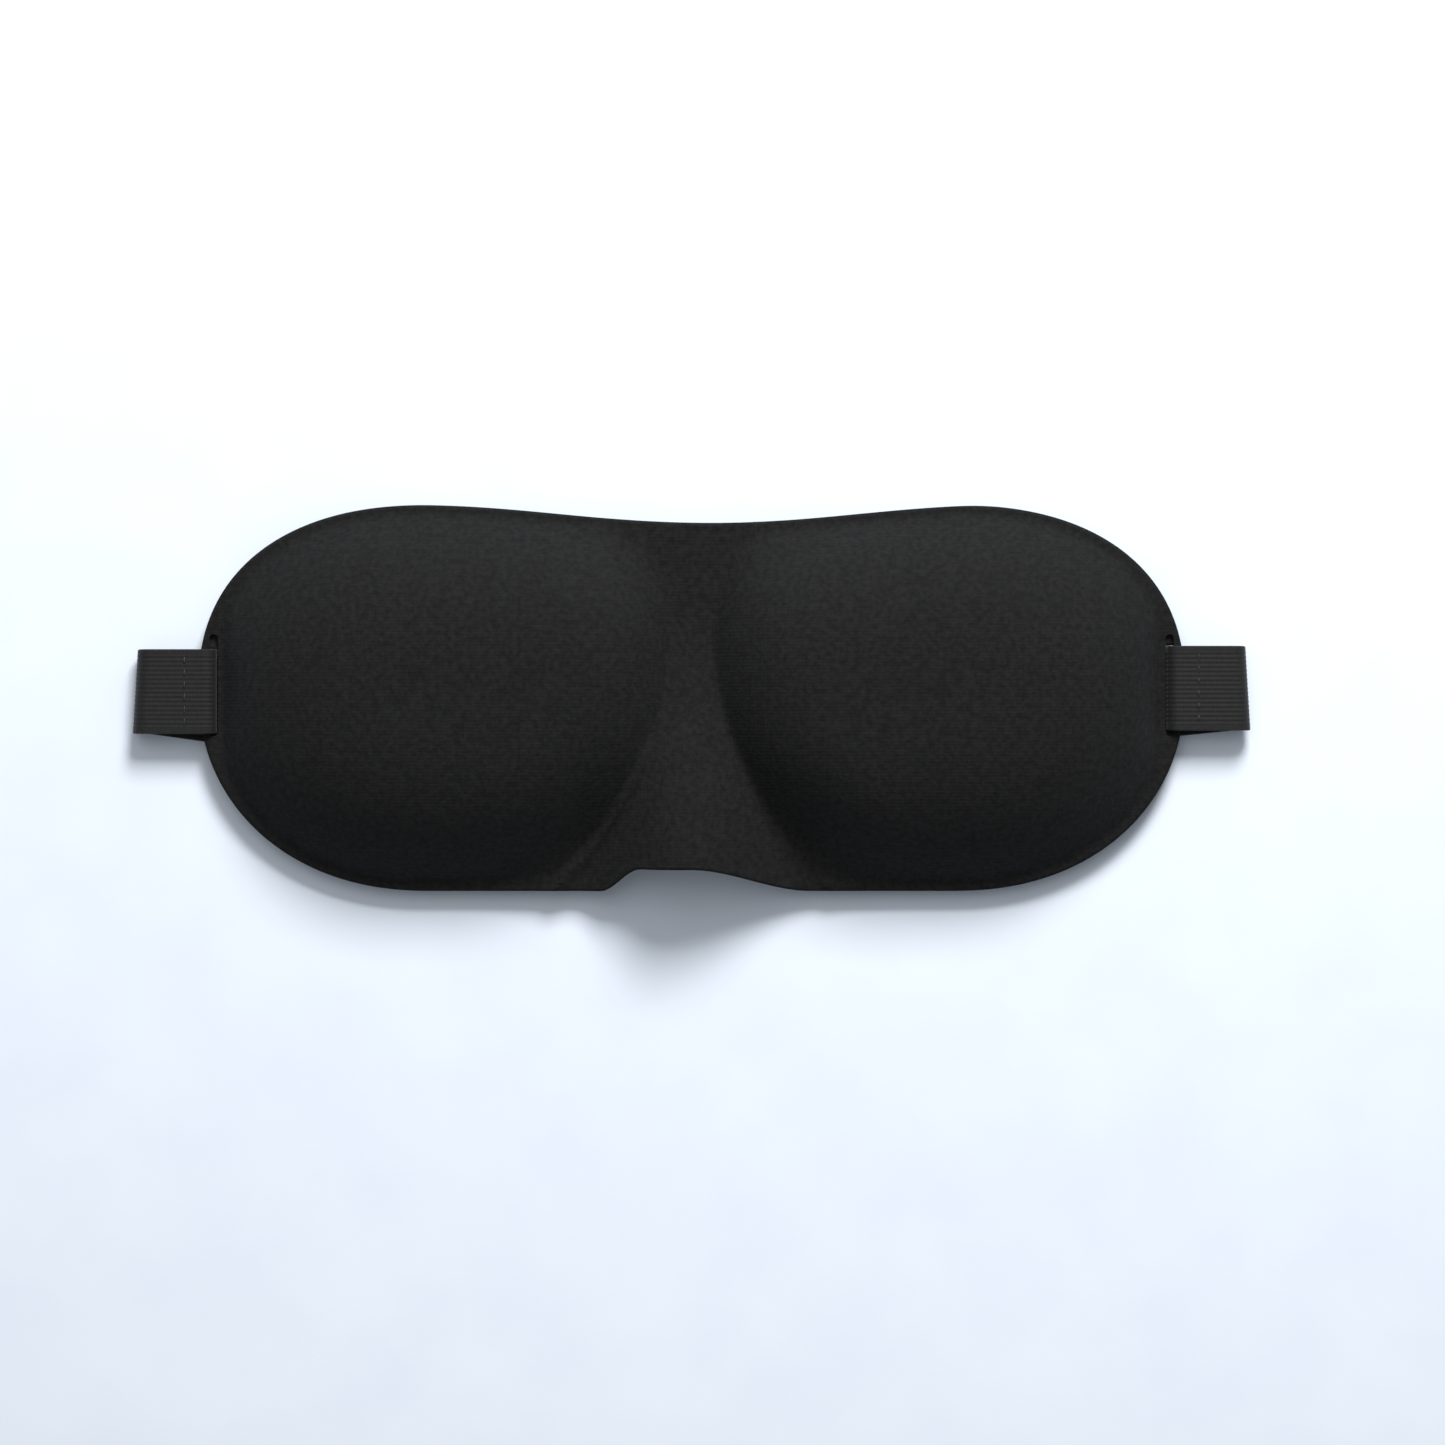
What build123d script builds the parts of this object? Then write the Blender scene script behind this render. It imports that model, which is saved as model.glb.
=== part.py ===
"""Contoured sleep mask: a moulded three-layer mask body and two elastic half straps.

Frame: the mask lies cups up. +X is the wearer's left, +Y the forehead edge, +Z out of the
cups. The straps lie folded behind the mask and the lowest one rests on Z = 0.
"""
import os
from math import cos, pi, radians, sqrt, tan

from build123d import *

# ---- Mask outline, mm ----
END_X = 62.0  # where the rounded ends begin, from the middle
END_REACH = 54.2  # how far each rounded end runs past that
HALF_HEIGHT = 45.6
END_POWER = 2.25  # 2 would be an ellipse
END_LIFT = 2.2  # the tips sit this much above the middle line
TOP_DIP = 4.3  # how far the forehead edge dips over the nose
TOP_DIP_HALF = 66.0
NOTCH_DEPTH = 5.0  # the nose notch in the lower edge
NOTCH_LEFT = -19.0
NOTCH_LEFT_RUN = 6.5
NOTCH_RIGHT_RUN = 26.0

# ---- Moulded form, mm ----
CUP_HEIGHT = 19.0
CUP_POWER = 3.0
CUP_EDGE = 0.95  # the cups start at this share of the outline
END_WALL_X = 110.4  # the cups stop here, inside the strap slots
END_WALL_SLOPE = 1.6
END_WALL_ROUND = 2.0  # rounding between that wall and the dome
NOSE_WALL_RUN = 26.0
NOSE_WALL_POWER = 2.6
FOOT_ROUND = 1.2  # rounding where the cups meet the rim
WAIST = 5.6  # half the flat between the cups at its narrowest
WAIST_Y = 13.0
BOW_UP = 0.0105  # how fast the flat widens above the waist, per mm
BOW_DOWN = 0.0078
ARCH_TOP = 2.0  # height of the nose bridge at the forehead edge
ARCH_RISE = 13.0  # how much more it stands at the nose notch
ARCH_RISE_FROM = 20.0  # it starts to rise at this Y and has risen after the run
ARCH_RISE_RUN = 62.0
ARCH_MIDDLE = -2.0
ARCH_LEFT_RUN = 26.0
ARCH_RIGHT_RUN = 32.0

# ---- Layers, mm ----
RIM_BOTTOM = 3.4
RIM_THICK = 1.6
CUP_THICK = 3.8
THICK_AT = 7.0  # the wall has its full thickness from this cup height
FABRIC = 0.45  # each knit face
GLUE = 0.02  # glue line on each side of the foam
BRIDGE_HALF = 10.0  # the bridge bends between these two lines
BRIDGE_GAP = 0.3
STEEPEST = 1.6  # plumb thickness is at most this many times the wall's thickness
SLOPE_STEP = 0.05  # step used to find a slope
SECTION_STEPS = 24
HALF_STATIONS = (13, 16, 20, 26, 34, 46, 60, 74, 86, 96, 103, 108, 111.5, 114, 115.4, 116.1)
BRIDGE_STATIONS = (-10, -7.5, -5, 0, 5, 7.5, 10)

# ---- Strap slots and straps, mm ----
SLOT_IN = 111.6
SLOT_OUT = 113.8
SLOT_MIDDLE_Y = 3.0
SLOT_LONG = 24.0
WEB_WIDE = 20.0
WEB = 1.1  # elastic thickness
BAR_X = 115.0
BAR_Z = RIM_BOTTOM + RIM_THICK / 2
LOOP_R = 2.25  # middle of the elastic where it turns round the edge bar
TAIL_RISE = 60.0  # degrees at which the sewn tail climbs to the front layer
TAIL_SEWN = 6.0
JOIN = 0.3  # lines of one path overlap by this much at a corner
FRONT_Z = BAR_Z + LOOP_R
FOLD_Z = (FRONT_Z + WEB / 2) / 2
FOLD_R = FRONT_Z - FOLD_Z
FOLD_X = 131.6 - FOLD_R - WEB / 2
FOLD_LEAN = 0.06  # the folds lean this much, in X per mm of Y
FOLD_GAP = 0.3
SEAM_X = 119.6
# Each rear band: middle at its fold, slope there, run to where it is level, and run to its tip.
RIGHT_BAND = {"y": 2.3, "slope": 0.105, "level": 161.0, "long": 178.0}
LEFT_BAND = {"y": 1.5, "slope": 0.150, "level": 101.0, "long": 118.0}
TALL = 60.0  # height of cutting tools
CLIMB_X = (45.0, 85.0)  # the left band climbs over the right one between these

# ---- Closure, mm ----
TAPE = 0.35  # woven ground of the hook and pile tapes
TAPE_FULL = 0.8  # with the hooks or pile on it
TAPE_EDGE = 1.8
PILE_X = (-49.0, -3.0)
PILE_WIDE = 17.0
HOOK_X = (-43.0, -12.0)
HOOK_WIDE = 16.0
CLOSURE_Y = -6.0
CLOSURE_GAP = 0.2
LEFT_Z = WEB + 2 * TAPE_FULL + CLOSURE_GAP  # underside of the left band at the closure

# ---- Thread, mm ----
STITCH = 2.2
STITCH_PITCH = 2.9
THREAD_WIDE = 0.5
THREAD_HIGH = 0.3


def ease(t):
    """Smooth step from 0 to 1."""
    t = min(max(t, 0.0), 1.0)
    return t * t * (3 - 2 * t)


def soft_max(a, b, k):
    return (a + b + sqrt((a - b) ** 2 + k * k)) / 2


def notch(x):
    return NOTCH_DEPTH * ease((x - NOTCH_LEFT) / NOTCH_LEFT_RUN) * (1 - ease(x / NOTCH_RIGHT_RUN))


def half_height(x, up):
    """Outline height above or below the middle line, before the ends round it off."""
    if up:
        t = min(abs(x) / TOP_DIP_HALF, 1.0)
        return HALF_HEIGHT - TOP_DIP * cos(pi / 2 * t) ** 2
    return HALF_HEIGHT - notch(x)


def share_out(x, y):
    """0 on the middle line, 1 on the outline."""
    e = (abs(x) - END_X) / END_REACH if abs(x) > END_X else 0.0
    v = abs(y - END_LIFT * e * e) / half_height(x, y > 0)
    return (e**END_POWER + v**END_POWER) ** (1 / END_POWER)


def nose_half(y):
    """Half the width between the two creases where the cups meet the bridge."""
    return WAIST + (BOW_UP if y > WAIST_Y else BOW_DOWN) * (y - WAIST_Y) ** 2


def nose_half_slope(y):
    return 2 * (BOW_UP if y > WAIST_Y else BOW_DOWN) * (y - WAIST_Y)


def arch(x, y):
    """The nose bridge: low at the forehead edge, high over the notch."""
    run = ARCH_LEFT_RUN if x < ARCH_MIDDLE else ARCH_RIGHT_RUN
    t = min(abs(x - ARCH_MIDDLE) / run, 1.0)
    rise = ARCH_RISE * ease((ARCH_RISE_FROM - y) / ARCH_RISE_RUN)
    return (ARCH_TOP + rise) * cos(pi / 2 * t) ** 2


def cup(x, y):
    """Cup height above the bridge and rim, negative outside the cups."""
    dome = CUP_HEIGHT * (1 - (share_out(x, y) / CUP_EDGE) ** CUP_POWER)
    inward = (abs(x) - nose_half(y)) / sqrt(1 + nose_half_slope(y) ** 2)
    t = inward / NOSE_WALL_RUN
    if t < 0:
        return min(dome, CUP_HEIGHT * NOSE_WALL_POWER * t)
    wall = 1 - (1 - t) ** NOSE_WALL_POWER if t < 1 else 1.0
    end = END_WALL_SLOPE * (END_WALL_X - abs(x))
    return -soft_max(-dome * wall, -end, END_WALL_ROUND)


def top_height(x, y):
    return RIM_BOTTOM + RIM_THICK + arch(x, y) + soft_max(cup(x, y), 0.0, FOOT_ROUND)


def thickness(x, y):
    return RIM_THICK + (CUP_THICK - RIM_THICK) * ease(cup(x, y) / THICK_AT)


def steepness(x, y):
    """How much longer a plumb line through the wall is than the wall's thickness."""
    h = SLOPE_STEP
    gx = (top_height(x + h, y) - top_height(x - h, y)) / (2 * h)
    gy = (top_height(x, y + h) - top_height(x, y - h)) / (2 * h)
    return min(sqrt(gx * gx + gy * gy + 1), STEEPEST)


def layer_heights(x, y, layer):
    """Underside and upper side of the lining (0), the foam (1) or the outer fabric (2)."""
    top = top_height(x, y)
    steep = steepness(x, y)
    bottom = max(top - thickness(x, y) * steep, RIM_BOTTOM + arch(x, y))
    lining = bottom + FABRIC * steep
    fabric = top - FABRIC * steep
    return ((bottom, lining), (lining + GLUE, fabric - GLUE), (fabric, top))[layer]


def edge_height(x, up):
    """Where the outline crosses x, above or below the middle line."""
    e = max(abs(x) - END_X, 0.0) / END_REACH
    v = (1 - e**END_POWER) ** (1 / END_POWER) * half_height(x, up)
    return END_LIFT * e * e + (v if up else -v)


def layer_section(x, layer):
    """One layer, cut across the mask at x."""
    low = edge_height(x, False)
    high = edge_height(x, True)
    ys = [low + (high - low) * i / SECTION_STEPS for i in range(SECTION_STEPS + 1)]
    heights = [layer_heights(x, y, layer) for y in ys]
    under = [(x, y, h[0]) for y, h in zip(ys, heights)]
    over = [(x, y, h[1]) for y, h in zip(ys, heights)]
    edges = [
        Spline(*under),
        Line(under[-1], over[-1]),
        Spline(*reversed(over)),
        Line(over[0], under[0]),
    ]
    return Face(Wire(edges))


def slot_tool(side):
    """Cuts the strap slot."""
    middle = (SLOT_IN + SLOT_OUT) / 2
    slot = SlotOverall(SLOT_LONG, SLOT_OUT - SLOT_IN, rotation=90)
    return extrude(Pos(side * middle, SLOT_MIDDLE_Y, 0) * slot, TALL)


def layer_piece(layer, stations):
    """A stretch of one layer, lofted through its cross-sections."""
    piece = loft([layer_section(x, layer) for x in stations])
    if abs(stations[-1]) > SLOT_OUT:
        piece -= slot_tool(1 if stations[-1] > 0 else -1)
    return piece


def mask_parts():
    """Nine solids: three layers, each as a left half, a bridge and a right half."""
    zones = {
        "left": [-x for x in (BRIDGE_HALF, *HALF_STATIONS)],
        "bridge": BRIDGE_STATIONS,
        "right": [BRIDGE_HALF + BRIDGE_GAP, *HALF_STATIONS],
    }
    parts = {}
    for layer, name in enumerate(("lining", "foam", "outer_fabric")):
        for zone, stations in zones.items():
            parts[f"{name}_{zone}"] = layer_piece(layer, stations)
    return parts


def ribbon(path):
    """Elastic of even thickness along a path, drawn with X across and Z up."""
    return Plane.XZ * trace(path, WEB)


def strap_loop(band):
    """Front layer, turn round the edge bar, and tail sewn under the front layer."""
    turned = Vector(0, -LOOP_R).rotate(Axis.Z, TAIL_RISE) + Vector(BAR_X, BAR_Z)
    knee_z = FRONT_Z - WEB
    knee_x = turned.X + (knee_z - turned.Y) / tan(radians(TAIL_RISE))
    path = [
        Line((FOLD_X + WEB_WIDE, FRONT_Z), (BAR_X, FRONT_Z)),
        CenterArc((BAR_X, BAR_Z), LOOP_R, 90, 180 + TAIL_RISE),
        Line((turned.X, turned.Y), (knee_x, knee_z)),
        Line((knee_x - JOIN, knee_z), (knee_x + TAIL_SEWN, knee_z)),
    ]
    strip = Pos(0, band["y"], 0) * extrude(ribbon(path), WEB_WIDE / 2, both=True)
    far = FOLD_LEAN * WEB_WIDE
    low, high, start = band["y"] - WEB_WIDE, band["y"] + WEB_WIDE, BAR_X - 2 * LOOP_R
    plan = Polyline((start, low), (FOLD_X + far, low), (FOLD_X - far, high), (start, high), close=True)
    return strip & extrude(make_face(plan), TALL)


def strap_fold(band):
    """Half turn that takes the front layer back behind the mask."""
    lean = Vector(-FOLD_LEAN, 1, 0)
    turn = ribbon(CenterArc((FOLD_X, FOLD_Z), FOLD_R, -90, 180))
    solid = extrude(turn, WEB_WIDE * lean.length, dir=lean)
    return Pos(FOLD_LEAN * WEB_WIDE / 2, band["y"] - WEB_WIDE / 2, 0) * solid


def band_plan(band):
    """Plan of a rear band, from its fold to its tip, as a tall solid."""

    def edge(offset):
        start = FOLD_X - FOLD_GAP - FOLD_LEAN * offset
        runs = (0.0, band["long"] / 2, band["long"])
        bend = band["slope"] / band["level"] / 2
        middles = [band["y"] - band["slope"] * run + bend * run**2 for run in runs]
        xs = (start, FOLD_X - runs[1], FOLD_X - runs[2])
        return [(x, y + offset) for x, y in zip(xs, middles)]

    upper = edge(WEB_WIDE / 2)
    lower = edge(-WEB_WIDE / 2)
    sides = [
        ThreePointArc(*upper),
        Line(upper[2], lower[2]),
        ThreePointArc(*lower),
        Line(lower[0], upper[0]),
    ]
    return extrude(make_face(sides), TALL)


def left_band():
    """The upper band. It is drawn as a right-hand one and mirrored by the caller."""
    high = LEFT_Z + WEB / 2
    path = [
        Line((FOLD_X + WEB_WIDE, WEB / 2), (CLIMB_X[1], WEB / 2)),
        Spline((CLIMB_X[1], WEB / 2), (CLIMB_X[0], high), tangents=((-1, 0), (-1, 0))),
        Line((CLIMB_X[0], high), (0, high)),
    ]
    return extrude(ribbon(path), 2 * WEB_WIDE, both=True) & band_plan(LEFT_BAND)


def right_band():
    flat = Box(4 * FOLD_X, 4 * WEB_WIDE, WEB)
    return band_plan(RIGHT_BAND) & Pos(0, 0, WEB / 2) * flat


def tape(span, wide, face_z, up):
    """Hook or pile tape on a band's face: a flat ground with a raised field."""
    long = span[1] - span[0]
    middle = (span[0] + span[1]) / 2
    ground = Pos(middle, CLOSURE_Y, face_z + up * TAPE / 2) * Box(long, wide, TAPE)
    field_box = Box(long - 2 * TAPE_EDGE, wide - 2 * TAPE_EDGE, TAPE_FULL)
    return ground + Pos(middle, CLOSURE_Y, face_z + up * TAPE_FULL / 2) * field_box


def stitch_row(start, end, z):
    """A row of thread stitches lying on a face, from start to end in plan."""
    run = Vector(*end) - Vector(*start)
    count = int(run.length // STITCH_PITCH)
    along = run.normalized()
    first = (run.length - (count - 1) * STITCH_PITCH) / 2
    stitch = Box(STITCH, THREAD_WIDE, THREAD_HIGH)
    turn = Rot(0, 0, Vector(1, 0).get_signed_angle(along))
    places = [Vector(*start) + along * (first + i * STITCH_PITCH) for i in range(count)]
    return [Pos(p.X, p.Y, z) * turn * stitch for p in places]


def tape_stitches(span, wide, z):
    """Stitches round the flat edge of a tape."""
    inset = TAPE_EDGE / 2
    x0, x1 = span[0] + inset, span[1] - inset
    y0, y1 = CLOSURE_Y - wide / 2 + inset, CLOSURE_Y + wide / 2 - inset
    rows = [((x0, y0), (x1, y0)), ((x0, y1), (x1, y1))]
    rows += [((x0, y0), (x0, y1)), ((x1, y0), (x1, y1))]
    return [stitch for start, end in rows for stitch in stitch_row(start, end, z)]


def bar_stitches(band):
    """The seam that closes the loop round the edge bar, seen on both of its faces."""
    low = (SEAM_X, band["y"] - WEB_WIDE / 2)
    high = (SEAM_X, band["y"] + WEB_WIDE / 2)
    above = FRONT_Z + (WEB + THREAD_HIGH) / 2
    below = FRONT_Z - 1.5 * WEB - THREAD_HIGH / 2
    return stitch_row(low, high, above) + stitch_row(low, high, below)


def strap_parts():
    """Both half straps, with their folds, seams and closure tapes."""

    def to_left(shape):
        return mirror(shape, about=Plane.YZ)

    pile_z = WEB + TAPE + THREAD_HIGH / 2
    hook_z = LEFT_Z + WEB + THREAD_HIGH / 2
    return {
        "right_strap_loop": strap_loop(RIGHT_BAND),
        "right_strap_fold": strap_fold(RIGHT_BAND),
        "right_strap_band": right_band(),
        "right_bar_stitching": Compound(children=bar_stitches(RIGHT_BAND)),
        "left_strap_loop": to_left(strap_loop(LEFT_BAND)),
        "left_strap_fold": to_left(strap_fold(LEFT_BAND)),
        "left_strap_band": to_left(left_band()),
        "left_bar_stitching": to_left(Compound(children=bar_stitches(LEFT_BAND))),
        "pile_tape": tape(PILE_X, PILE_WIDE, WEB, 1),
        "pile_stitching": Compound(children=tape_stitches(PILE_X, PILE_WIDE, pile_z)),
        "hook_tape": tape(HOOK_X, HOOK_WIDE, LEFT_Z, -1),
        "hook_stitching": Compound(children=tape_stitches(HOOK_X, HOOK_WIDE, hook_z)),
    }


def main():
    os.makedirs("parts", exist_ok=True)
    for name, solid in (mask_parts() | strap_parts()).items():
        export_step(solid, f"parts/{name}.step")


main()
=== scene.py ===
import math

import bmesh
import bpy
import numpy as np
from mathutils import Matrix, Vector


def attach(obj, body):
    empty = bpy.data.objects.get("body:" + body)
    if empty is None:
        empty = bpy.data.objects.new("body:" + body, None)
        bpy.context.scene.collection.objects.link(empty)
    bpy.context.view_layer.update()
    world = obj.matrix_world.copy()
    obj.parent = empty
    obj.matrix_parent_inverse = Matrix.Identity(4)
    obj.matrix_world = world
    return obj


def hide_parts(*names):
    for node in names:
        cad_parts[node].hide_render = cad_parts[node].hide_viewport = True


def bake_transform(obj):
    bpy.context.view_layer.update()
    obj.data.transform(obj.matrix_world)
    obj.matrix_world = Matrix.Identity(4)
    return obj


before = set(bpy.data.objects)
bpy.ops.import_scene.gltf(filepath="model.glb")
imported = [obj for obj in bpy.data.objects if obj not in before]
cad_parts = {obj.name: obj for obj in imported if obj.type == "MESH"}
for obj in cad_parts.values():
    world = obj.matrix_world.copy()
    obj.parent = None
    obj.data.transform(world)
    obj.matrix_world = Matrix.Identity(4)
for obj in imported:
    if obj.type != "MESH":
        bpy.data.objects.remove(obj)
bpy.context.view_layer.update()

# Sizes in millimetres. MM turns them to metres.
MM = 0.001

# ---- Outline of the mask body ----
END_X, END_REACH = 62.0, 54.6
HALF_HEIGHT, END_POWER, END_LIFT = 45.6, 2.22, 2.5
TOP_DIP, TOP_DIP_MIDDLE, TOP_DIP_HALF = 4.3, 4.0, 70.0
NOTCH_DEPTH, NOTCH_LEFT, NOTCH_LEFT_RUN, NOTCH_RIGHT_RUN = 5.4, -21.5, 9.5, 28.0

# ---- Moulded form ----
CUP_HEIGHT, CUP_POWER, CUP_EDGE = 19.0, 3.0, 0.95
END_WALL_X, END_WALL_SLOPE, END_WALL_ROUND = 110.4, 1.6, 2.0
NOSE_WALL_RUN, NOSE_WALL_POWER = 26.0, 2.6
FOOT_ROUND = 1.2
WAIST, WAIST_Y, BOW_UP, BOW_DOWN = 5.6, 13.0, 0.0105, 0.0078
ARCH_TOP, ARCH_RISE, ARCH_RISE_FROM, ARCH_RISE_RUN = 2.0, 13.0, 20.0, 62.0
ARCH_MIDDLE, ARCH_LEFT_RUN, ARCH_RIGHT_RUN = -2.0, 26.0, 32.0
RIM_BOTTOM, RIM_THICK, CUP_THICK, THICK_AT = 3.4, 1.6, 3.8, 7.0
FABRIC, GLUE, STEEPEST = 0.45, 0.02, 1.6
EDGE_ROLL, EDGE_ROLL_FROM = 0.4, 0.982

# ---- Pinched ridge along one crease. Each run is (the y it starts at, its length). ----
RIDGE_HIGH, RIDGE_WIDE, RIDGE_ASIDE = 1.5, 0.9, 0.5
RIDGE_WIDER, RIDGE_LOWER = 1.6, 0.5
RIDGE_RISES, RIDGE_WIDENS, RIDGE_SINKS = (-6.0, 10.0), (-30.0, 14.0), (-38.0, 8.0)

# ---- How finely the mask body is divided ----
SLOPE_STEP = 0.05
NEAR_HALF, NEAR_PITCH = 34.0, 0.8
FAR_FROM, FAR_TO, FAR_COUNT = 35.2, 61.0, 19
END_COUNT = 97
RING_SPLIT, INNER_RINGS, OUTER_RINGS = 0.9, 46, 21

# ---- Slots and straps ----
SLOT_IN, SLOT_OUT, SLOT_MIDDLE_Y, SLOT_LONG = 111.9, 113.9, 3.0, 24.0
LINING_SLOT_IN, LINING_SLOT_LONG, LINING_SLOT_ROUND = 112.15, 20.3, 0.15
SLOT_ROUND_SHARE, SLOT_ROUND_STEPS, CUTTER_TALL = 2.05, 5, 12.0
WEB_WIDE, WEB = 20.0, 1.1
RIB_PITCH, RIB_DEPTH = 1.05, 0.07
WEB_INSET, WEB_POINTS = 0.25, 127
WEB_EDGE_WIDE, WEB_EDGE_LEVEL = 1.3, 0.35
WEB_ROUND_IN, WEB_ROUND_HALF = 0.06, 0.3
WEB_SHARP_ANGLE = 50
BAR_X, BAR_Z, LOOP_R = 115.0, 4.2, 2.25
TAIL_RISE, TAIL_SEWN = 60.0, 6.0
KNEE_RUN, KNEE_BACK, KNEE_DROP = 1.0, 0.5, 0.87
FRONT_Z = BAR_Z + LOOP_R
FOLD_Z = (FRONT_Z + WEB / 2) / 2
FOLD_R = FRONT_Z - FOLD_Z
STRAP_REACH = 131.6
FOLD_X = STRAP_REACH - FOLD_R - WEB / 2
FOLD_LEAN, LEAN_RUN = 0.06, 60.0
SEAM_X = 119.6
FRONT_SPLIT_X, REAR_SPLIT_X = 123.0, 108.0
BANDS = {
    "right": {"sign": 1, "y": 2.3, "slope": 0.105, "level": 161.0, "long": 178.0, "climb": 0.0},
    "left": {"sign": -1, "y": 1.5, "slope": 0.150, "level": 101.0, "long": 118.0, "climb": 2.9},
}
CLIMB_X = (45.0, 85.0)
LOOP_STEPS = {"tail": 12, "knee": 7, "turn": 40, "front": 14}
FOLD_STEPS = {"front": 8, "turn": 34, "rear": 20}
BAND_STEP = 1.6

# ---- Thread ----
STITCH_PITCH, STITCH_LONG, STITCH_R = 2.9, 2.3, 0.26
STITCH_SIDES, STITCH_CUTS = 8, 4
STITCH_TAPER, STITCH_DIVE = 0.45, 0.28
SEAM_SINK = 0.05

# ---- Closure tapes: thin woven grounds with a field of hooks or of looped pile ----
TAPE, TAPE_FULL, TAPE_EDGE = 0.35, 0.8, 1.8
PILE_X, PILE_WIDE = (-49.0, -3.0), 17.0
HOOK_X, HOOK_WIDE = (-43.0, -12.0), 16.0
CLOSURE_Y = -6.0
TAPE_COLUMNS, TAPE_ROWS = 30, 12
CLUMP_PITCH, CLUMP_HIGH, CLUMP_BOW, CLUMP_R = 1.15, 0.43, 0.3, 0.13
CLUMP_SIDES, CLUMP_STEPS = 5, 6
HOOK_TURN, PILE_TURN = 215, 180
PILE_SIZES, PILE_SCATTER, PILE_SEED = (0.8, 1.15), 0.3, 7

# ---- Shades and grains that several materials share ----
SHADE_SPREAD = (0.32, 0.68)
SHEEN_SHADE = "#C8CCD2"
WEFT_PITCH, TWIST_SCALE = 0.6, 420.0

# ---- Floor, light and camera, in metres ----
FLOOR_SIZE, FLOOR_DROP = 6, 0.0002
SKY_SHADE, SKY_POWER = "#EEF3FA", 0.3
LAMPS = (
    ("key", (0.22, 0.86, 0.72), 0.4, 17.0),
    ("fill", (-0.2, 0.5, 1.2), 0.9, 3.0),
)
CAMERA_PLACE = (7.3 * MM, -5.8 * MM, 1.01)
CAMERA_LENS, CAMERA_SENSOR = 106, 36


# ---------------------------------------------------------------- small helpers


def srgb(code):
    """A hex colour as linear RGBA."""
    parts = [int(code[i : i + 2], 16) / 255 for i in (1, 3, 5)]
    return [c / 12.92 if c <= 0.04045 else ((c + 0.055) / 1.055) ** 2.4 for c in parts] + [1.0]


def nothing_selected():
    """Leaves edit mode and clears the selection."""
    if bpy.context.object and bpy.context.object.mode != "OBJECT":
        bpy.ops.object.mode_set(mode="OBJECT")
    bpy.ops.object.select_all(action="DESELECT")


def only(piece):
    """Makes the piece the selected and active one, alone."""
    nothing_selected()
    piece.select_set(True)
    bpy.context.view_layer.objects.active = piece


def settle(piece):
    """Puts the piece's place, turn and size into its mesh."""
    only(piece)
    bpy.ops.object.transform_apply(location=True, rotation=True, scale=True)


def apply_modifiers(piece):
    only(piece)
    for modifier in list(piece.modifiers):
        bpy.ops.object.modifier_apply(modifier=modifier.name)


def turn_outwards(piece):
    """Turns every face of the piece to look out of it."""
    only(piece)
    bpy.ops.object.mode_set(mode="EDIT")
    bpy.ops.mesh.select_all(action="SELECT")
    bpy.ops.mesh.normals_make_consistent(inside=False)
    bpy.ops.object.mode_set(mode="OBJECT")


def new_mesh(name, points, faces):
    """A mesh piece from points in millimetres."""
    mesh = bpy.data.meshes.new(name)
    mesh.from_pydata((np.asarray(points, float) * MM).tolist(), [], faces)
    mesh.validate()
    piece = bpy.data.objects.new(name, mesh)
    bpy.context.scene.collection.objects.link(piece)
    mesh.shade_smooth()
    return piece


def dress(piece, material):
    piece.data.materials.clear()
    piece.data.materials.append(material)


# ---------------------------------------------------------------- materials


def add(nodes, kind, links=(), **settings):
    """One node with its settings. links are (socket, other node's output)."""
    node = nodes.new(kind)
    for name, value in settings.items():
        if hasattr(node, name):
            setattr(node, name, value)
        else:
            node.inputs[name.replace("_", " ").capitalize()].default_value = value
    for socket, source in links:
        node.id_data.links.new(source, node.inputs[socket])
    return node


def material_base(name):
    """A new material with its Principled shader, its node list and Object coordinates."""
    material = bpy.data.materials.new(name)
    material.use_nodes = True
    nodes = material.node_tree.nodes
    shader = nodes["Principled BSDF"]
    place = nodes.new("ShaderNodeTexCoord").outputs["Object"]
    return material, nodes, shader, place


def mottled(nodes, place, spot_mm, dark, light):
    """A soft mix of two near shades, in spots about spot_mm across."""
    scale = 1 / (spot_mm * MM)
    spots = add(nodes, "ShaderNodeTexNoise", [("Vector", place)], Scale=scale, Detail=3.0)
    ramp = add(nodes, "ShaderNodeValToRGB", [("Fac", spots.outputs["Fac"])])
    for stop, position, shade in zip(ramp.color_ramp.elements, SHADE_SPREAD, (dark, light)):
        stop.position = position
        stop.color = srgb(shade)
    return ramp.outputs["Color"]


def paint(shader, color, settings):
    """Links a colour to a Principled shader and sets its other inputs by name."""
    shader.id_data.links.new(color, shader.inputs["Base Color"])
    for name, value in settings.items():
        shader.inputs[name].default_value = value


def emboss(nodes, shader, height, strength, deep_mm):
    """Raises the surface by height, up to deep_mm."""
    deep = deep_mm * MM
    bump = add(nodes, "ShaderNodeBump", [("Height", height)], Strength=strength, Distance=deep)
    shader.id_data.links.new(bump.outputs["Normal"], shader.inputs["Normal"])


def wave_scale(pitch_mm):
    """The wave texture's scale for bands pitch_mm apart."""
    return 2 * math.pi / (20 * pitch_mm * MM)


def maths(nodes, operation, first, second):
    """One math node on two outputs."""
    return add(nodes, "ShaderNodeMath", [(0, first), (1, second)], operation=operation).outputs[0]


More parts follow.
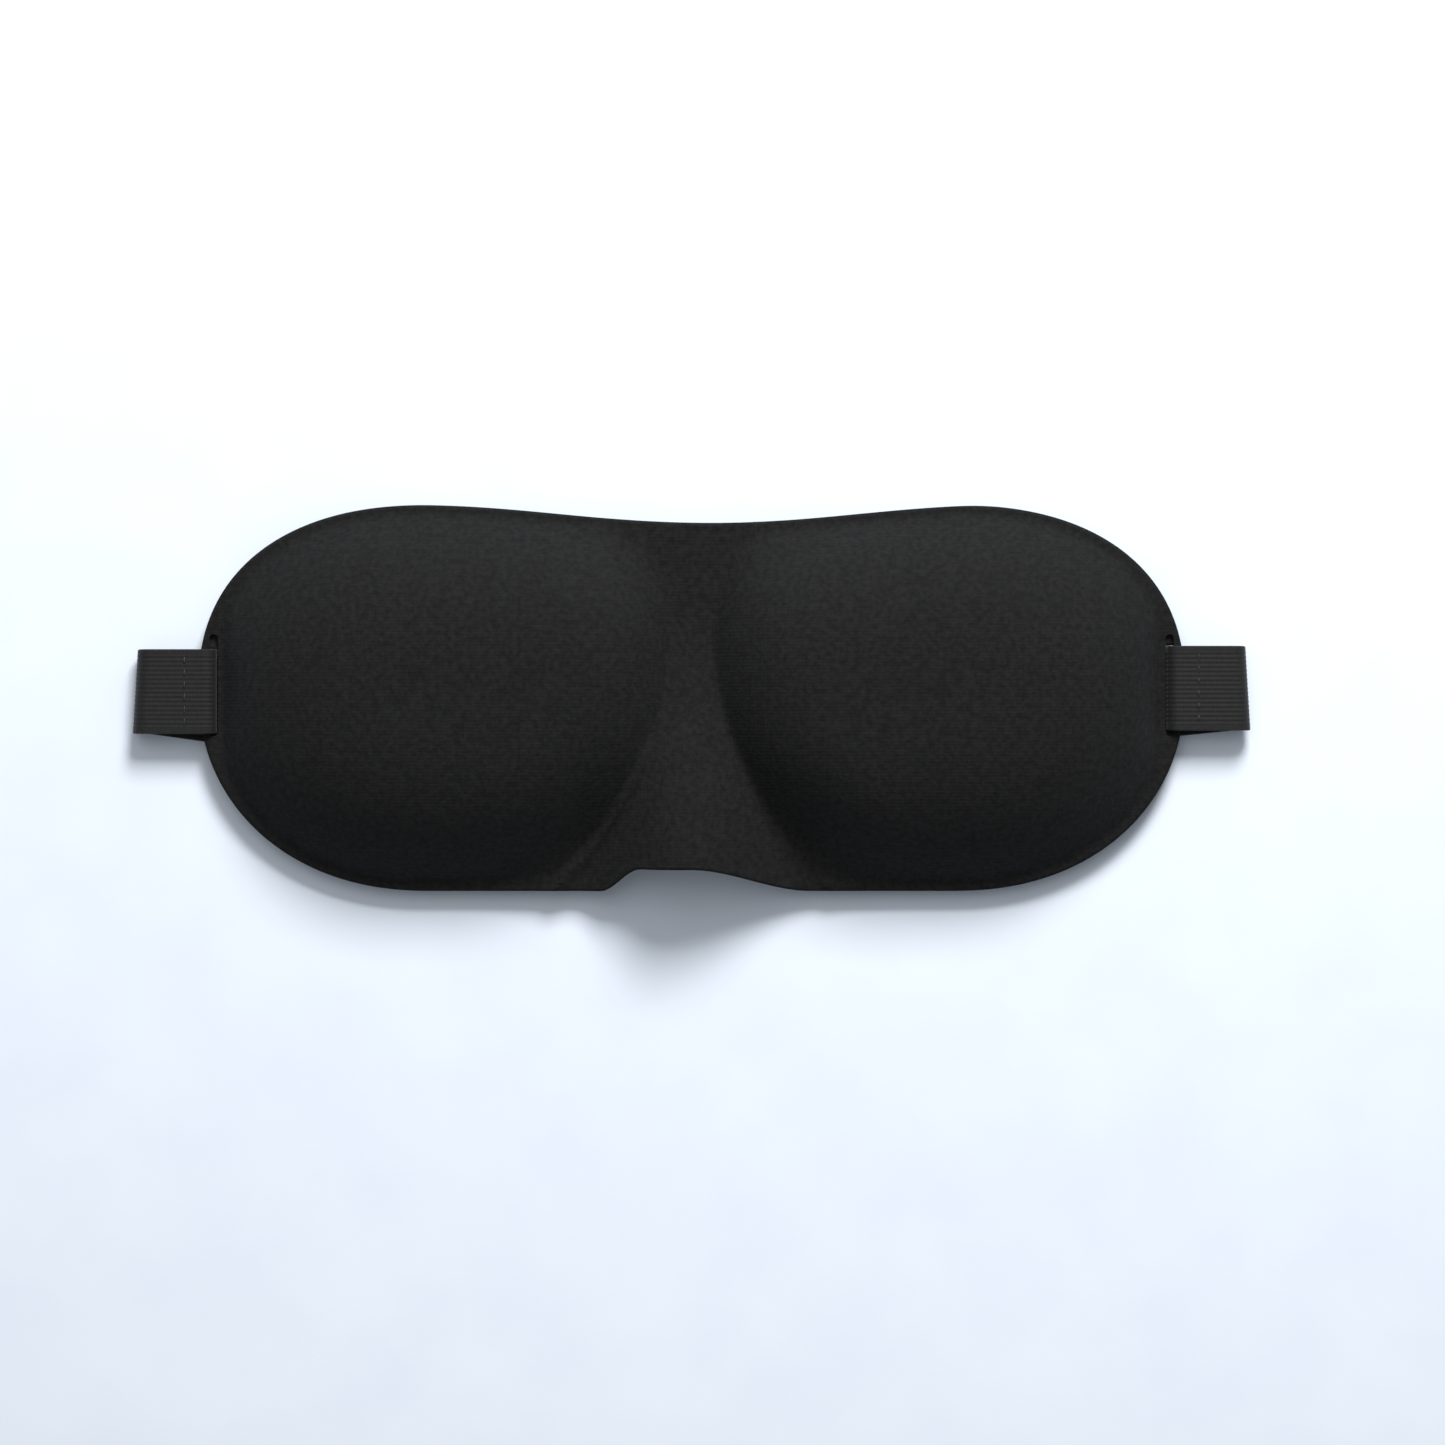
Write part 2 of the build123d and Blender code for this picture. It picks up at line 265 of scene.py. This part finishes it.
def knit_material(name, dark, light, stitch_mm, depth, sheen):
    """Brushed polyester jersey, heat moulded: a matt, faintly fuzzy black with fine wales."""
    material, nodes, shader, place = material_base(name)
    look = {
        "Roughness": 0.92,
        "Specular IOR Level": 0.18,
        "Sheen Weight": sheen,
        "Sheen Roughness": 0.45,
        "Sheen Tint": srgb(SHEEN_SHADE),
    }
    paint(shader, mottled(nodes, place, 1.3, dark, light), look)
    # Wales of such cloth are near 0.3 mm apart. They are drawn at stitch_mm, so that they show.
    scale = wave_scale(stitch_mm)
    wales = add(nodes, "ShaderNodeTexWave", [("Vector", place)], Scale=scale, Distortion=1.5)
    rows = add(
        nodes,
        "ShaderNodeTexWave",
        [("Vector", place)],
        bands_direction="Y",
        Scale=scale,
        Distortion=2.0,
    )
    both = maths(nodes, "MULTIPLY", wales.outputs["Fac"], rows.outputs["Fac"])
    faint = add(nodes, "ShaderNodeMath", [(0, both)], operation="MULTIPLY")
    faint.inputs[1].default_value = 0.35
    fuzz = add(nodes, "ShaderNodeTexNoise", [("Vector", place)], Scale=1 / (0.9 * MM), Detail=4.0)
    height = maths(nodes, "ADD", faint.outputs[0], fuzz.outputs["Fac"])
    emboss(nodes, shader, height, 0.55, depth)
    return material


def elastic_material():
    """Woven polyester elastic: corded along its length, with a fine cross weft and a slight sheen."""
    material, nodes, shader, place = material_base("woven_polyester_elastic")
    look = {
        "Roughness": 0.72,
        "Specular IOR Level": 0.35,
        "Sheen Weight": 0.12,
        "Sheen Roughness": 0.4,
    }
    paint(shader, mottled(nodes, place, 0.9, "#0D0D0D", "#161616"), look)
    # The weft of such elastic is near 0.25 mm apart. It is drawn wider, so that it shows.
    scale = wave_scale(WEFT_PITCH)
    weft = add(nodes, "ShaderNodeTexWave", [("Vector", place)], Scale=scale, Distortion=1.2)
    emboss(nodes, shader, weft.outputs["Fac"], 0.3, 0.06)
    return material


def foam_material():
    """Moulded polyurethane foam: matt, with fine open cells."""
    material, nodes, shader, place = material_base("moulded_polyurethane_foam")
    look = {"Roughness": 0.97, "Specular IOR Level": 0.15}
    paint(shader, mottled(nodes, place, 0.8, "#161617", "#222224"), look)
    cells = add(nodes, "ShaderNodeTexVoronoi", [("Vector", place)], Scale=1 / (0.7 * MM))
    emboss(nodes, shader, cells.outputs["Distance"], 0.6, 0.2)
    return material


def thread_material():
    """Spun polyester thread: two twisted plies, a little shinier than the cloth."""
    material, nodes, shader, place = material_base("spun_polyester_thread")
    paint(shader, mottled(nodes, place, 0.5, "#101012", "#222225"), {"Roughness": 0.6})
    twist = add(
        nodes,
        "ShaderNodeTexWave",
        [("Vector", place)],
        bands_direction="DIAGONAL",
        Scale=TWIST_SCALE,
    )
    emboss(nodes, shader, twist.outputs["Fac"], 0.6, 0.1)
    return material


def nylon_material(name, dark, light, rough):
    """Knitted or moulded nylon of a closure tape."""
    material, nodes, shader, place = material_base(name)
    look = {"Roughness": rough, "Sheen Weight": 0.1}
    paint(shader, mottled(nodes, place, 0.6, dark, light), look)
    grain = add(nodes, "ShaderNodeTexNoise", [("Vector", place)], Scale=1 / (0.5 * MM), Detail=3.0)
    emboss(nodes, shader, grain.outputs["Fac"], 0.5, 0.15)
    return material


def floor_material():
    """Matt painted board, pale and faintly blue."""
    material, nodes, shader, place = material_base("matt_painted_board")
    paint(shader, mottled(nodes, place, 25.0, "#E6EEF8", "#EAF2FB"), {"Roughness": 0.9})
    return material


# ---------------------------------------------------------------- moulded form


def ease(t):
    """0 to 1, slow at both ends."""
    t = np.clip(t, 0.0, 1.0)
    return t * t * (3 - 2 * t)


def soft_max(a, b, k):
    """The larger of two heights, rounded over about k where they meet."""
    return (a + b + np.sqrt((a - b) ** 2 + k * k)) / 2


def half_height(x, up):
    """Height of the outline above or below the middle line, before the ends round it off."""
    dip = np.cos(np.pi / 2 * np.minimum(np.abs(x - TOP_DIP_MIDDLE) / TOP_DIP_HALF, 1.0)) ** 2
    notch = NOTCH_DEPTH * ease((x - NOTCH_LEFT) / NOTCH_LEFT_RUN) * (1 - ease(x / NOTCH_RIGHT_RUN))
    return np.where(up, HALF_HEIGHT - TOP_DIP * dip, HALF_HEIGHT - notch)


def share_out(x, y):
    """0 on the middle line, 1 on the outline."""
    e = np.maximum(np.abs(x) - END_X, 0) / END_REACH
    v = np.abs(y - END_LIFT * e * e) / half_height(x, y > 0)
    return (e**END_POWER + v**END_POWER) ** (1 / END_POWER)


def arch(x, y):
    """The nose bridge: low at the forehead edge, high over the notch."""
    run = np.where(x < ARCH_MIDDLE, ARCH_LEFT_RUN, ARCH_RIGHT_RUN)
    t = np.minimum(np.abs(x - ARCH_MIDDLE) / run, 1.0)
    rise = ARCH_RISE * ease((ARCH_RISE_FROM - y) / ARCH_RISE_RUN)
    return (ARCH_TOP + rise) * np.cos(np.pi / 2 * t) ** 2


def cup(x, y):
    """Cup height above the bridge and rim, negative outside the cups."""
    dome = CUP_HEIGHT * (1 - (share_out(x, y) / CUP_EDGE) ** CUP_POWER)
    bow = np.where(y > WAIST_Y, BOW_UP, BOW_DOWN)
    crease = WAIST + bow * (y - WAIST_Y) ** 2
    t = (np.abs(x) - crease) / np.sqrt(1 + (2 * bow * (y - WAIST_Y)) ** 2) / NOSE_WALL_RUN
    wall = 1 - (1 - np.clip(t, 0, 1)) ** NOSE_WALL_POWER
    end = END_WALL_SLOPE * (END_WALL_X - np.abs(x))
    inside = -soft_max(-dome * wall, -end, END_WALL_ROUND)
    return np.where(t < 0, np.minimum(dome, CUP_HEIGHT * NOSE_WALL_POWER * t), inside)


def top_height(x, y):
    return RIM_BOTTOM + RIM_THICK + arch(x, y) + soft_max(cup(x, y), 0.0, FOOT_ROUND)


def crease_ridge(x, y):
    """The pinched fold that stands up along the crease at X < 0, below the waist."""
    rises, widens, sinks = (
        ease((start - y) / long) for start, long in (RIDGE_RISES, RIDGE_WIDENS, RIDGE_SINKS)
    )
    crease = -(WAIST + BOW_DOWN * (y - WAIST_Y) ** 2)
    run = RIDGE_WIDE * (1 + RIDGE_WIDER * widens)
    shape = np.exp(-(((x - crease - RIDGE_ASIDE) / run) ** 2))
    return RIDGE_HIGH * shape * rises * (1 - RIDGE_LOWER * sinks)


def layer_heights(x, y):
    """The surfaces of lining, foam and outer fabric, from the face side to the outside."""
    top = top_height(x, y) + crease_ridge(x, y)
    step = SLOPE_STEP
    gx = (top_height(x + step, y) - top_height(x - step, y)) / (2 * step)
    gy = (top_height(x, y + step) - top_height(x, y - step)) / (2 * step)
    steep = np.minimum(np.sqrt(gx * gx + gy * gy + 1), STEEPEST)
    thick = RIM_THICK + (CUP_THICK - RIM_THICK) * ease(cup(x, y) / THICK_AT)
    bottom = np.maximum(top - thick * steep, RIM_BOTTOM + arch(x, y))
    roll = EDGE_ROLL * ease((share_out(x, y) - EDGE_ROLL_FROM) / (1 - EDGE_ROLL_FROM)) ** 2
    return {
        "lining": (bottom + roll / 2, bottom + FABRIC * steep + roll / 4),
        "foam": (
            bottom + FABRIC * steep + GLUE + roll / 4,
            top - FABRIC * steep - GLUE - roll / 2,
        ),
        "outer_fabric": (top - FABRIC * steep - roll / 2, top - roll),
    }


def outline_stations():
    """Stations round the outline, as (side, end share, height share, up, fixed x)."""
    near = np.arange(-NEAR_HALF, NEAR_HALF + 0.01, NEAR_PITCH)
    far = np.linspace(FAR_FROM, FAR_TO, FAR_COUNT)
    middle = np.concatenate([-far[::-1], near, far])
    angles = np.radians(np.linspace(-90, 90, END_COUNT))
    c = np.abs(np.cos(angles)) ** (2 / END_POWER)
    s = np.abs(np.sin(angles)) ** (2 / END_POWER)
    stations = [(1, e, v, a > 0, None) for a, e, v in zip(angles, c, s)]
    stations += [(0, 0.0, 1.0, True, x) for x in middle[::-1]]
    stations += [(-1, e, v, a > 0, None) for a, e, v in zip(angles[::-1], c[::-1], s[::-1])]
    stations += [(0, 0.0, 1.0, False, x) for x in middle]
    return stations


def mask_grid():
    """Plan points of rings that shrink from the outline to the middle line."""
    inner = np.linspace(0.0, RING_SPLIT, INNER_RINGS)
    outer = np.linspace(RING_SPLIT, 1.0, OUTER_RINGS)[1:]
    rings = np.concatenate([inner, outer])
    side, e, v, up, fixed = zip(*outline_stations())
    side, e, v, up = (np.array(a) for a in (side, e, v, up))
    fixed = np.array([0.0 if f is None else f for f in fixed])
    r = rings[:, None]
    x = np.where(side == 0, fixed, side * (END_X + END_REACH * e * r))
    reach = half_height(x, np.broadcast_to(up, x.shape))
    y = np.where(up, 1, -1) * v * r * reach + END_LIFT * (e * r) ** 2
    return x, y


def mask_shell(name, layer):
    """One closed layer of the mask body."""
    x, y = mask_grid()
    low, high = layer_heights(x, y)[layer]
    rings, around = x.shape
    count = rings * around
    points = np.concatenate([np.stack([x, y, z], axis=-1).reshape(-1, 3) for z in (low, high)])
    faces = []
    for i in range(rings - 1):
        for k in range(around):
            n = (k + 1) % around
            a, b = i * around + k, i * around + n
            c, d = (i + 1) * around + n, (i + 1) * around + k
            faces.append((a, b, c, d))
            faces.append((count + d, count + c, count + b, count + a))
    last = (rings - 1) * around
    for k in range(around):
        n = (k + 1) % around
        faces.append((last + k, last + n, count + last + n, count + last + k))
    piece = new_mesh(name, points, faces)
    close_middle(piece, around, count)
    return piece


def close_middle(piece, around, count):
    """Joins the innermost ring to itself on both faces, and drops what has no area left."""
    mesh = bmesh.new()
    mesh.from_mesh(piece.data)
    mesh.verts.ensure_lookup_table()
    centre = [mesh.verts[i] for start in (0, count) for i in range(start, start + around)]
    bmesh.ops.remove_doubles(mesh, verts=centre, dist=1e-6)
    bmesh.ops.dissolve_degenerate(mesh, edges=mesh.edges, dist=1e-7)
    bmesh.ops.recalc_face_normals(mesh, faces=mesh.faces)
    mesh.to_mesh(piece.data)
    mesh.free()


def slot_cutters(layer):
    """Tall rounded bars that cut both strap slots. The lining's are only as long as the elastic."""
    cutters = []
    for name, band in BANDS.items():
        nothing_selected()
        y, long, inner = SLOT_MIDDLE_Y, SLOT_LONG, SLOT_IN
        rounding = (SLOT_OUT - inner) / SLOT_ROUND_SHARE * MM
        if layer == "lining":
            y, long, inner = band["y"], LINING_SLOT_LONG, LINING_SLOT_IN
            rounding = LINING_SLOT_ROUND * MM
        x = band["sign"] * (inner + SLOT_OUT) / 2
        bpy.ops.mesh.primitive_cube_add(size=1, location=(x * MM, y * MM, BAR_Z * MM))
        cutter = bpy.context.object
        cutter.name = f"{name}_slot_cutter"
        cutter.scale = ((SLOT_OUT - inner) * MM, long * MM, CUTTER_TALL * MM)
        settle(cutter)
        bevel = cutter.modifiers.new("ends", "BEVEL")
        bevel.width = rounding
        bevel.segments = SLOT_ROUND_STEPS
        bevel.limit_method = "ANGLE"
        apply_modifiers(cutter)
        cutters.append(cutter)
    return cutters


def cut_slots(piece, cutters):
    """Cuts the slots out of one layer, and removes the cutters."""
    for cutter in cutters:
        cut = piece.modifiers.new("slot", "BOOLEAN")
        cut.operation = "DIFFERENCE"
        cut.solver = "EXACT"
        cut.object = cutter
    apply_modifiers(piece)
    for cutter in cutters:
        bpy.data.objects.remove(cutter)


def make_mask(materials):
    """Outer fabric, foam and lining, each one continuous piece over the nose."""
    looks = {"outer_fabric": "knit", "foam": "foam", "lining": "lining"}
    pieces = {}
    for layer, slot in looks.items():
        piece = mask_shell(f"mask_{layer}", layer)
        cut_slots(piece, slot_cutters(layer))
        dress(piece, materials[slot])
        piece.data.shade_smooth()
        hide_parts(f"{layer}_left", f"{layer}_bridge", f"{layer}_right")
        pieces[layer] = piece
    for piece in pieces.values():
        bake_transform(piece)


# ---------------------------------------------------------------- straps


def web_section():
    """Half loop across the elastic: (across, out of the face), corded and round at both edges."""
    half = WEB_WIDE / 2
    across = np.linspace(-half + WEB_INSET, half - WEB_INSET, WEB_POINTS)
    edge = np.abs(across) > half - WEB_EDGE_WIDE
    cords = np.where(edge, WEB_EDGE_LEVEL, np.cos(2 * np.pi * across / RIB_PITCH))
    face = WEB / 2 - RIB_DEPTH * (1 - cords) / 2
    round_edge = [
        (half - WEB_ROUND_IN, WEB_ROUND_HALF),
        (half, 0.0),
        (half - WEB_ROUND_IN, -WEB_ROUND_HALF),
    ]
    over = list(zip(across, face))
    under = [(t, -n) for t, n in reversed(over)]
    return over + round_edge + under + [(-t, -n) for t, n in round_edge]


def sweep_web(name, path, band):
    """Elastic along path, a list of (x, y, z, lean). Its faces look square to the path in XZ."""
    path = np.array(path, float)
    ahead = np.gradient(path[:, [0, 2]], axis=0)
    ahead /= np.linalg.norm(ahead, axis=1)[:, None]
    out = np.stack([-ahead[:, 1], ahead[:, 0]], axis=1)
    section = np.array(web_section())
    across, lift = section[:, 0], section[:, 1]
    x = path[:, 0, None] - path[:, 3, None] * across + out[:, 0, None] * lift
    y = path[:, 1, None] + across + 0 * x
    z = path[:, 2, None] + out[:, 1, None] * lift
    points = np.stack([band["sign"] * x, y, z], axis=-1).reshape(-1, 3)
    rows, n = x.shape
    faces = [
        (i * n + k, i * n + (k + 1) % n, (i + 1) * n + (k + 1) % n, (i + 1) * n + k)
        for i in range(rows - 1)
        for k in range(n)
    ]
    faces.append(tuple(range(n)))
    faces.append(tuple((rows - 1) * n + k for k in reversed(range(n))))
    piece = new_mesh(name, points, faces)
    turn_outwards(piece)
    bpy.ops.object.shade_smooth_by_angle(angle=math.radians(WEB_SHARP_ANGLE))
    return piece


def loop_path(band):
    """From the end of the sewn tail, round the edge bar, and along the front layer."""
    rise = math.radians(TAIL_RISE)
    low = (BAR_X + LOOP_R * math.sin(rise), BAR_Z - LOOP_R * math.cos(rise))
    knee_z = FRONT_Z - WEB
    knee_x = low[0] + (knee_z - low[1]) / math.tan(rise)
    tail = np.linspace(knee_x + TAIL_SEWN, knee_x + KNEE_RUN, LOOP_STEPS["tail"])
    flat = [(x, knee_z) for x in tail]
    knee = []
    for t in np.linspace(0, 1, LOOP_STEPS["knee"])[1:]:
        sewn_side = (1 - t) ** 2 * (knee_x + KNEE_RUN)
        bar_side = t * t * (knee_x - KNEE_BACK)
        x = sewn_side + 2 * t * (1 - t) * knee_x + bar_side
        knee.append((x, (1 - t * t) * knee_z + t * t * (knee_z - KNEE_DROP)))
    turn = [
        (BAR_X + LOOP_R * math.sin(a), BAR_Z - LOOP_R * math.cos(a))
        for a in np.linspace(rise, -math.pi, LOOP_STEPS["turn"])
    ]
    front = [(x, FRONT_Z) for x in np.linspace(BAR_X, FRONT_SPLIT_X, LOOP_STEPS["front"])[1:]]
    return [(x, band["y"], z, 0.0) for x, z in flat + knee + turn + front]


def band_point(x, band):
    """Middle of the rear band at x, with its climb over the other band."""
    run = FOLD_X - x
    y = band["y"] - band["slope"] * run + band["slope"] / band["level"] / 2 * run**2
    climb = band["climb"] * float(ease((CLIMB_X[1] - x) / (CLIMB_X[1] - CLIMB_X[0])))
    lean = FOLD_LEAN * max(1 - run / LEAN_RUN, 0.0)
    return (x, y, WEB / 2 + climb, lean)


def fold_path(band):
    """The front layer's outer end, the half turn, and the start of the rear band."""
    front = [
        (x, band["y"], FRONT_Z, FOLD_LEAN * (x - FRONT_SPLIT_X) / (FOLD_X - FRONT_SPLIT_X))
        for x in np.linspace(FRONT_SPLIT_X, FOLD_X, FOLD_STEPS["front"])
    ]
    turn = [
        (FOLD_X + FOLD_R * math.sin(a), band["y"], FOLD_Z + FOLD_R * math.cos(a), FOLD_LEAN)
        for a in np.linspace(0, math.pi, FOLD_STEPS["turn"])[1:-1]
    ]
    rear_xs = np.linspace(FOLD_X, REAR_SPLIT_X, FOLD_STEPS["rear"])
    rear = [band_point(x, band) for x in rear_xs]
    return front + turn + rear


def band_path(band):
    """The rear band, from behind the mask to its tip."""
    tip = FOLD_X - band["long"]
    xs = np.linspace(REAR_SPLIT_X, tip, int(band["long"] / BAND_STEP))
    return [band_point(x, band) for x in xs]


def make_strap(side, materials):
    """One elastic half strap: loop with front layer, fold, and rear band."""
    band = BANDS[side]
    loop = sweep_web(f"{side}_elastic_loop", loop_path(band), band)
    fold = sweep_web(f"{side}_elastic_fold", fold_path(band), band)
    rear = sweep_web(f"{side}_elastic_band", band_path(band), band)
    for piece in (loop, fold, rear):
        dress(piece, materials["elastic"])
    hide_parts(f"{side}_strap_loop")
    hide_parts(f"{side}_strap_fold")
    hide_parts(f"{side}_strap_band")
    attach(loop, f"{side}_loop")
    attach(rear, f"{side}_band")
    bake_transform(fold)


# ---------------------------------------------------------------- thread


def one_stitch():
    """A single thread stitch along X: a fat middle whose two ends dive into the cloth."""
    nothing_selected()
    bpy.ops.mesh.primitive_cylinder_add(
        vertices=STITCH_SIDES, radius=STITCH_R * MM, depth=STITCH_LONG * MM
    )
    stitch = bpy.context.object
    stitch.rotation_euler = (0, math.pi / 2, 0)
    settle(stitch)
    bpy.ops.object.mode_set(mode="EDIT")
    bpy.ops.mesh.select_all(action="SELECT")
    bpy.ops.mesh.subdivide(number_cuts=STITCH_CUTS)
    bpy.ops.object.mode_set(mode="OBJECT")
    for vertex in stitch.data.vertices:
        along = min(abs(vertex.co.x) / (STITCH_LONG / 2 * MM), 1.0)
        thin = 1 - STITCH_TAPER * along**3
        vertex.co.y *= thin
        vertex.co.z = vertex.co.z * thin - STITCH_DIVE * MM * along**2
    stitch.data.shade_smooth()
    return stitch


def stitch_rows(name, rows, stitch, body, node, materials):
    """Copies of the stitch along rows of (start, end, height, up), in millimetres."""
    points, faces = [], []
    shape = np.array([v.co for v in stitch.data.vertices]) / MM
    shape_faces = [tuple(p.vertices) for p in stitch.data.polygons]
    for start, end, height, up in rows:
        start, end = Vector(start), Vector(end)
        run = end - start
        count = int(run.length // STITCH_PITCH)
        along = run.normalized()
        first = (run.length - (count - 1) * STITCH_PITCH) / 2
        for i in range(count):
            middle = start + along * (first + i * STITCH_PITCH)
            base = len(points)
            for px, py, pz in shape:
                flip = py * (1 if up > 0 else -1)
                x = middle.x + px * along.x - flip * along.y
                y = middle.y + px * along.y + flip * along.x
                points.append((x, y, height + up * pz))
            faces += [tuple(base + v for v in face) for face in shape_faces]
    piece = new_mesh(name, points, faces)
    dress(piece, materials["thread"])
    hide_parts(node)
    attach(piece, body)


def make_stitching(materials):
    """The seam of each strap loop, and the thread round both closure tapes."""
    stitch = one_stitch()
    for side, band in BANDS.items():
        x = band["sign"] * SEAM_X
        low, high = (x, band["y"] - WEB_WIDE / 2), (x, band["y"] + WEB_WIDE / 2)
        rows = [
            (low, high, FRONT_Z + WEB / 2 - SEAM_SINK, 1),
            (low, high, FRONT_Z - 1.5 * WEB + SEAM_SINK, -1),
        ]
        node = f"{side}_bar_stitching"
        stitch_rows(f"{side}_seam_thread", rows, stitch, f"{side}_loop", node, materials)
    for name, (x0, x1), wide, height, body in (
        ("pile", PILE_X, PILE_WIDE, WEB + TAPE, "right_band"),
        ("hook", HOOK_X, HOOK_WIDE, WEB + BANDS["left"]["climb"], "left_band"),
    ):
        y0 = CLOSURE_Y - wide / 2 + TAPE_EDGE / 2
        y1 = CLOSURE_Y + wide / 2 - TAPE_EDGE / 2
        x0, x1 = x0 + TAPE_EDGE / 2, x1 - TAPE_EDGE / 2
        sides = [
            ((x0, y0), (x1, y0)),
            ((x0, y1), (x1, y1)),
            ((x0, y0), (x0, y1)),
            ((x1, y0), (x1, y1)),
        ]
        rows = [(start, end, height, 1) for start, end in sides]
        stitch_rows(f"{name}_tape_thread", rows, stitch, body, f"{name}_stitching", materials)
    bpy.data.objects.remove(stitch)


# ---------------------------------------------------------------- closure tapes


def tape_ground(name, span, wide, face_z, up):
    """Woven ground of a tape, with its thin edge round a thicker field."""
    nothing_selected()
    bpy.ops.mesh.primitive_grid_add(x_subdivisions=TAPE_COLUMNS, y_subdivisions=TAPE_ROWS, size=1)
    ground = bpy.context.object
    ground.name = name
    ground.location = ((span[0] + span[1]) / 2 * MM, CLOSURE_Y * MM, face_z * MM)
    ground.scale = ((span[1] - span[0]) * MM, wide * MM, 1)
    settle(ground)
    bpy.ops.object.mode_set(mode="EDIT")
    bpy.ops.mesh.select_all(action="SELECT")
    bpy.ops.mesh.extrude_region_move(TRANSFORM_OT_translate={"value": (0, 0, up * TAPE * MM)})
    turn_outwards(ground)
    return ground


def clump(is_hook):
    """One moulded hook, or one loop of pile: a small ring spun part of the way round."""
    nothing_selected()
    bpy.ops.mesh.primitive_circle_add(
        vertices=CLUMP_SIDES, radius=CLUMP_R * MM, fill_type="NGON"
    )
    piece = bpy.context.object
    bpy.ops.object.mode_set(mode="EDIT")
    bpy.ops.mesh.select_all(action="SELECT")
    turn = math.radians(HOOK_TURN if is_hook else PILE_TURN)
    centre = (CLUMP_BOW * MM, 0, 0)
    bpy.ops.mesh.spin(steps=CLUMP_STEPS, angle=turn, center=centre, axis=(0, 1, 0))
    bpy.ops.object.mode_set(mode="OBJECT")
    return piece


def tape_field(name, ground, span, wide, face_z, up, is_hook):
    """Rows of hooks, or tufts of looped pile leaning every way, joined to their ground."""
    one = clump(is_hook)
    shape = np.array([v.co for v in one.data.vertices]) / MM
    shape[:, 2] = np.abs(shape[:, 2])
    shape_faces = [tuple(p.vertices) for p in one.data.polygons]
    random = np.random.default_rng(PILE_SEED)
    y0 = CLOSURE_Y - wide / 2 + TAPE_EDGE
    y1 = CLOSURE_Y + wide / 2 - TAPE_EDGE
    xs = np.arange(span[0] + TAPE_EDGE, span[1] - TAPE_EDGE, CLUMP_PITCH)
    ys = np.arange(y0, y1, CLUMP_PITCH)
    points, faces = [], []
    for x in xs:
        for y in ys:
            turn, size, px, py = 0.0, 1.0, x, y
            if not is_hook:
                turn = random.uniform(0, 2 * math.pi)
                size = random.uniform(*PILE_SIZES)
                px = x + random.uniform(-PILE_SCATTER, PILE_SCATTER)
                py = y + random.uniform(-PILE_SCATTER, PILE_SCATTER)
            c, s = math.cos(turn) * size, math.sin(turn) * size
            base = len(points)
            for a, b, z in shape:
                height = min(z * (TAPE_FULL - TAPE) / CLUMP_HIGH, TAPE_FULL - TAPE)
                level = face_z + up * (TAPE + height)
                points.append((px + a * c - b * s, py + a * s + b * c, level))
            faces += [tuple(base + v for v in face) for face in shape_faces]
    bpy.data.objects.remove(one)
    field = new_mesh(f"{name}_field", points, faces)
    turn_outwards(field)
    ground.select_set(True)
    bpy.context.view_layer.objects.active = ground
    bpy.ops.object.join()
    return ground


def make_closure(materials):
    """Looped pile on the right band, hooks on the left band, face to face."""
    left_z = BANDS["left"]["climb"]
    for name, span, wide, face_z, up, body in (
        ("pile", PILE_X, PILE_WIDE, WEB, 1, "right_band"),
        ("hook", HOOK_X, HOOK_WIDE, left_z, -1, "left_band"),
    ):
        ground = tape_ground(f"{name}_closure_tape", span, wide, face_z, up)
        piece = tape_field(name, ground, span, wide, face_z, up, name == "hook")
        dress(piece, materials[name])
        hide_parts(f"{name}_tape")
        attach(piece, body)


# ---------------------------------------------------------------- floor, light, camera


def make_setting():
    """The floor, a faint sky, two soft lamps and the camera."""
    nothing_selected()
    bpy.ops.mesh.primitive_plane_add(size=FLOOR_SIZE, location=(0, 0, -FLOOR_DROP))
    floor = bpy.context.object
    floor.name = "floor"
    settle(floor)
    floor.data.materials.append(floor_material())

    world = bpy.data.worlds.new("soft_studio")
    world.use_nodes = True
    sky = world.node_tree.nodes["Background"]
    sky.inputs["Color"].default_value = srgb(SKY_SHADE)
    sky.inputs["Strength"].default_value = SKY_POWER
    bpy.context.scene.world = world

    for name, place, size, power in LAMPS:
        light = bpy.data.lights.new(name, "AREA")
        light.size = size
        light.energy = power
        lamp = bpy.data.objects.new(name, light)
        lamp.location = place
        lamp.rotation_euler = (-Vector(place)).to_track_quat("-Z", "Y").to_euler()
        bpy.context.scene.collection.objects.link(lamp)

    # Square on to the cups. It takes in about 340 mm at the mask.
    camera = bpy.data.cameras.new("camera")
    camera.sensor_width = CAMERA_SENSOR
    camera.lens = CAMERA_LENS
    eye = bpy.data.objects.new("camera", camera)
    eye.location = CAMERA_PLACE
    bpy.context.scene.collection.objects.link(eye)
    bpy.context.scene.camera = eye
    bpy.context.scene.view_settings.view_transform = "Standard"


def main():
    make_setting()
    materials = {
        "knit": knit_material("moulded_polyester_jersey", "#111111", "#1D1D1D", 0.8, 0.22, 0.05),
        "lining": knit_material("smooth_lining_jersey", "#1A1A1B", "#242426", 0.6, 0.12, 0.06),
        "foam": foam_material(),
        "elastic": elastic_material(),
        "thread": thread_material(),
        "pile": nylon_material("napped_nylon_loop_pile", "#1A1A1B", "#2A2A2C", 0.9),
        "hook": nylon_material("moulded_nylon_hooks", "#151516", "#202022", 0.45),
    }
    make_mask(materials)
    for side in BANDS:
        make_strap(side, materials)
    make_closure(materials)
    make_stitching(materials)


main()
